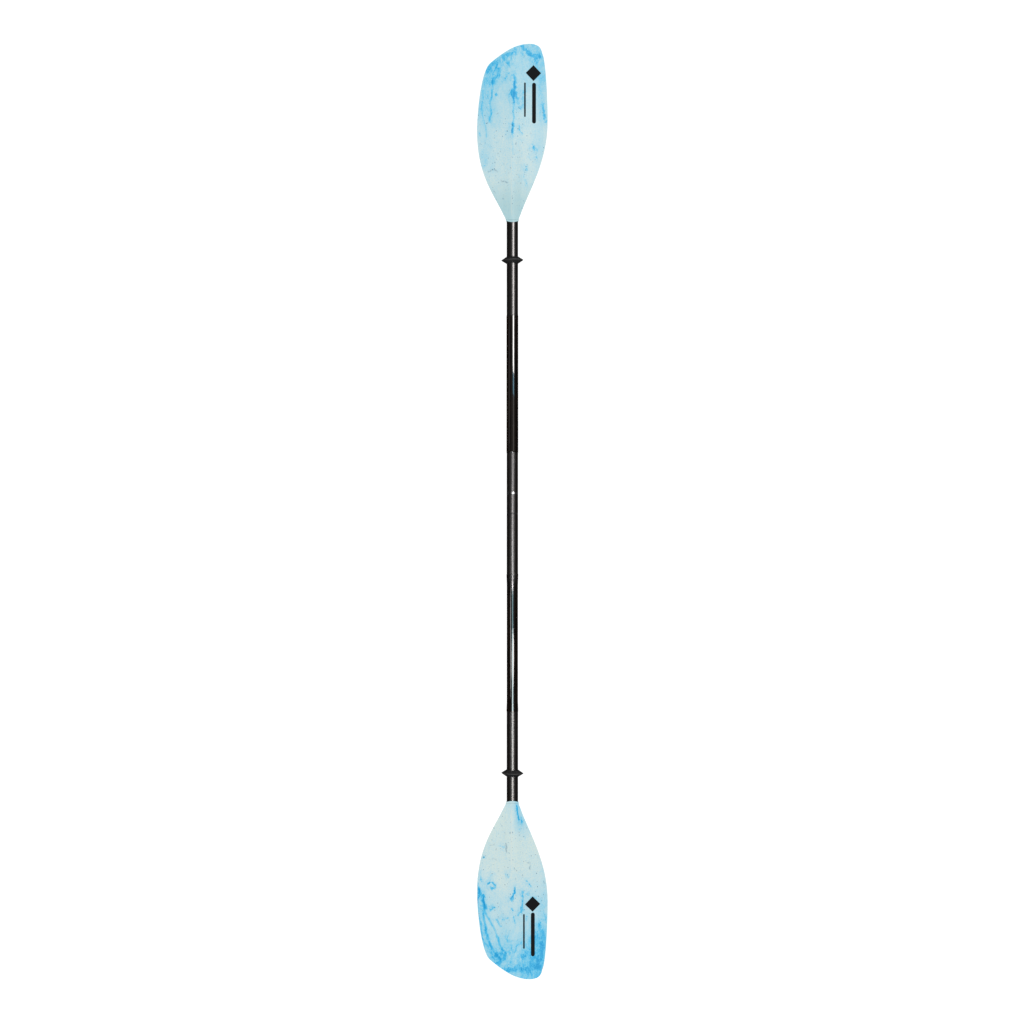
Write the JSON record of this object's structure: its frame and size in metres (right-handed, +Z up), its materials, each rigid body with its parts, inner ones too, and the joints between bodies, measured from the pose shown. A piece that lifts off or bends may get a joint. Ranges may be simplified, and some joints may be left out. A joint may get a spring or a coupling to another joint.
{
  "type": "kayak paddle",
  "caption": "Take-apart double-bladed kayak paddle with marbled moulded blades, a snap-button joint, grip sleeves and sliding drip rings.",
  "frame": {"origin": "on the floor that the paddle lies on, under the middle of its length and width", "axes": "+X along the shaft towards the upper, female half; +Z up, out of the power faces; the long edges of both blades on -Y"},
  "size_m": [2.3, 0.175, 0.0555],
  "materials": {
    "blade_plastic": "satin, marbled aqua and blue",
    "shaft_tube": "satin black",
    "grip_sleeve": "gloss black shrink sleeve",
    "drip_rubber": "matte black",
    "seam_rubber": "matte black",
    "spring_steel": "bright",
    "ferrule_plastic": "satin dark grey",
    "foam": "closed-cell foam"
  },
  "bodies": {
    "male_half": {"blade_lower": "blade_plastic", "shaft_lower": "shaft_tube", "grip_sleeve_lower": "grip_sleeve", "foam_plug_lower": "foam", "tube_cap_lower": "ferrule_plastic", "ferrule": "ferrule_plastic", "ferrule_end_cap": "ferrule_plastic", "button_spring": "spring_steel"},
    "seam_ring": {"seam_ring": "seam_rubber"},
    "female_half": {"blade_upper": "blade_plastic", "shaft_upper": "shaft_tube", "grip_sleeve_upper": "grip_sleeve", "foam_plug_upper": "foam", "tube_cap_upper": "ferrule_plastic"},
    "snap_button": {"snap_button": "spring_steel"},
    "drip_ring_upper": {"drip_ring_upper": "drip_rubber"},
    "drip_ring_lower": {"drip_ring_lower": "drip_rubber"}
  },
  "joints": [
    {"name": "feather_turn", "type": "hinge", "parent": "male_half", "child": "seam_ring", "pos_m": [-0.005, 0, 0.0285], "axis": [1, 0, 0], "range_deg": [-60, 60]},
    {"name": "ferrule_slide", "type": "slide", "parent": "seam_ring", "child": "female_half", "axis": [1, 0, 0], "range_m": [0, 0.15]},
    {"name": "button_press", "type": "slide", "parent": "male_half", "child": "snap_button", "axis": [0, 0.1219, -0.9925], "range_m": [0, 0.0044], "stiffness_N_per_m": 1500, "springref_m": -0.002, "deforming": ["button_spring", "snap_button"]},
    {"name": "drip_ring_upper_slide", "type": "slide", "parent": "female_half", "child": "drip_ring_upper", "axis": [1, 0, 0], "range_m": [-0.125, 0.082]},
    {"name": "drip_ring_lower_slide", "type": "slide", "parent": "male_half", "child": "drip_ring_lower", "axis": [1, 0, 0], "range_m": [-0.057, 0.141]}
  ]
}
